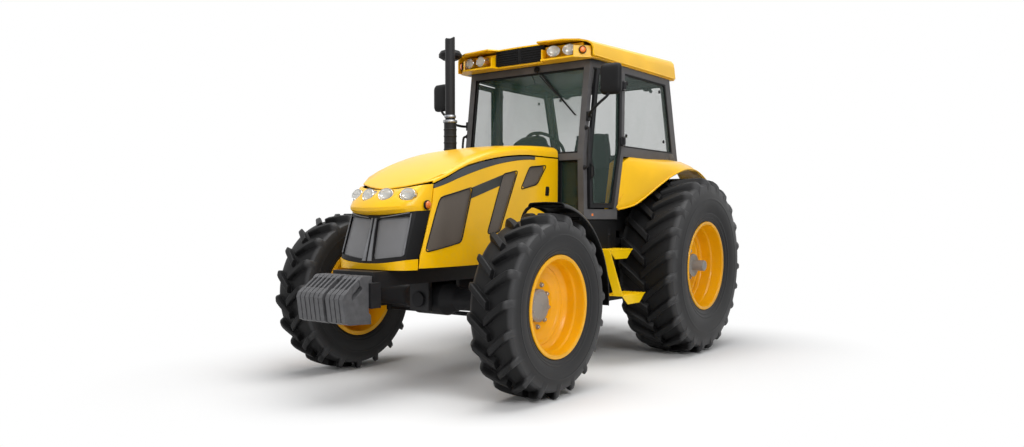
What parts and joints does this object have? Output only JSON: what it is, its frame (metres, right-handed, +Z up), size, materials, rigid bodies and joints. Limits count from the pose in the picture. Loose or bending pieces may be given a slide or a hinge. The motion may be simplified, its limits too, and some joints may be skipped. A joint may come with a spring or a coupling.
{
  "type": "farm tractor",
  "caption": "Farm tractor with driven steered front axle, glazed cab with rear-hinged doors, tilting hood, front weights and three-point hitch.",
  "frame": {"origin": "middle of the bounding box, on the ground", "axes": "+X forward, +Y to the driver's left, +Z up"},
  "size_m": [5.0206, 2.445, 2.96],
  "materials": {
    "paint": "gloss",
    "rim_paint": "gloss",
    "cab_paint": "satin",
    "black_paint": "satin",
    "casting": "matte",
    "tyre": "matte",
    "black_plastic": "matte",
    "mesh": "satin",
    "glass": "clear",
    "lens": "clear",
    "amber": "gloss",
    "seat_fabric": "matte"
  },
  "bodies": {
    "chassis": {"hood_sides": "paint", "nose_cowl": "paint", "cab_roof": "paint", "roof_base": "paint", "rear_fenders": "paint", "steps": "paint", "cab_frame": "cab_paint", "hood_stripes": "cab_paint", "exhaust": "cab_paint", "engine": "black_paint", "transmission": "black_paint", "front_axle": "black_paint", "hood_bulkhead": "black_paint", "cab_floor": "black_paint", "seat_base": "black_paint", "drawbar": "black_paint", "top_link": "black_paint", "steering_column": "black_paint", "front_support": "casting", "front_weights": "casting", "grille_frame": "black_plastic", "roof_panel": "black_plastic", "dashboard": "black_plastic", "mirrors": "black_plastic", "side_tanks": "black_plastic", "intake": "black_plastic", "mesh_panels": "mesh", "cab_glass": "glass", "lamps": "lens", "turn_lamps": "amber", "seat_cushions": "seat_fabric"},
    "knuckle_left": {"left_knuckle": "black_paint", "front_mudguard": "black_plastic"},
    "knuckle_right": {"right_knuckle": "black_paint"},
    "track_rod": {"tie_rod": "black_paint"},
    "wheel_front_left": {"front_left_tyre": "tyre", "front_left_rim": "rim_paint", "front_left_hub": "casting"},
    "wheel_front_right": {"front_right_tyre": "tyre", "front_right_rim": "rim_paint", "front_right_hub": "casting"},
    "wheel_rear_left": {"rear_left_tyre": "tyre", "rear_left_rim": "rim_paint", "rear_left_hub": "casting"},
    "wheel_rear_right": {"rear_right_tyre": "tyre", "rear_right_rim": "rim_paint", "rear_right_hub": "casting"},
    "hood": {"hood_lid": "paint"},
    "door_left": {"left_door": "black_paint", "left_door_glass": "glass"},
    "door_right": {"right_door": "black_paint", "right_door_glass": "glass"},
    "hitch_links": {"lower_links": "black_paint"},
    "hitch_arms": {"lift_arms": "black_paint"},
    "hitch_rods": {"lift_rods": "black_paint"}
  },
  "joints": [
    {"name": "steer_left", "type": "hinge", "parent": "chassis", "child": "knuckle_left", "pos_m": [1.28834, 0.76, 0.68], "axis": [0, 0, 1], "range_deg": [-35, 35]},
    {"name": "steer_right", "type": "hinge", "parent": "chassis", "child": "knuckle_right", "pos_m": [1.28834, -0.76, 0.68], "axis": [0, 0, 1], "range_deg": [-35, 35]},
    {"name": "track_rod_swing", "type": "hinge", "parent": "knuckle_left", "child": "track_rod", "pos_m": [1.02834, 0.76, 0.53], "axis": [0, 0, 1], "range_deg": [-35, 35]},
    {"name": "roll_front_left", "type": "hinge", "parent": "knuckle_left", "child": "wheel_front_left", "pos_m": [1.28834, 1.03, 0.68], "axis": [0, 1, 0], "continuous": true},
    {"name": "roll_front_right", "type": "hinge", "parent": "knuckle_right", "child": "wheel_front_right", "pos_m": [1.28834, -1.03, 0.68], "axis": [0, 1, 0], "continuous": true},
    {"name": "roll_rear_left", "type": "hinge", "parent": "chassis", "child": "wheel_rear_left", "pos_m": [-1.39166, 0.92, 0.855], "axis": [0, 1, 0], "continuous": true},
    {"name": "roll_rear_right", "type": "hinge", "parent": "chassis", "child": "wheel_rear_right", "pos_m": [-1.39166, -0.92, 0.855], "axis": [0, 1, 0], "continuous": true},
    {"name": "hood_tilt", "type": "hinge", "parent": "chassis", "child": "hood", "pos_m": [0.13034, 0, 1.913], "axis": [0, -1, 0], "range_deg": [0, 50]},
    {"name": "door_left_swing", "type": "hinge", "parent": "chassis", "child": "door_left", "pos_m": [-0.47966, 0.751, 2], "axis": [0, 0, 1], "range_deg": [0, 75]},
    {"name": "door_right_swing", "type": "hinge", "parent": "chassis", "child": "door_right", "pos_m": [-0.47966, -0.751, 2], "axis": [0, 0, -1], "range_deg": [0, 75]},
    {"name": "hitch_lift", "type": "hinge", "parent": "chassis", "child": "hitch_links", "pos_m": [-1.56166, 0, 0.56], "axis": [0, 1, 0], "range_deg": [0, 40]},
    {"name": "hitch_arm_turn", "type": "hinge", "parent": "chassis", "child": "hitch_arms", "pos_m": [-1.56166, 0, 1.2], "axis": [0, 1, 0], "range_deg": [0, 40]},
    {"name": "hitch_rod_swing", "type": "hinge", "parent": "hitch_links", "child": "hitch_rods", "pos_m": [-1.97649, 0, 0.4943], "axis": [0, 1, 0], "range_deg": [-40, 0]}
  ],
  "couplings": [
    {"joint": "steer_right", "follows": "steer_left", "ratio": 1},
    {"joint": "track_rod_swing", "follows": "steer_left", "ratio": -1},
    {"joint": "hitch_arm_turn", "follows": "hitch_lift", "ratio": 1},
    {"joint": "hitch_rod_swing", "follows": "hitch_lift", "ratio": -1}
  ]
}
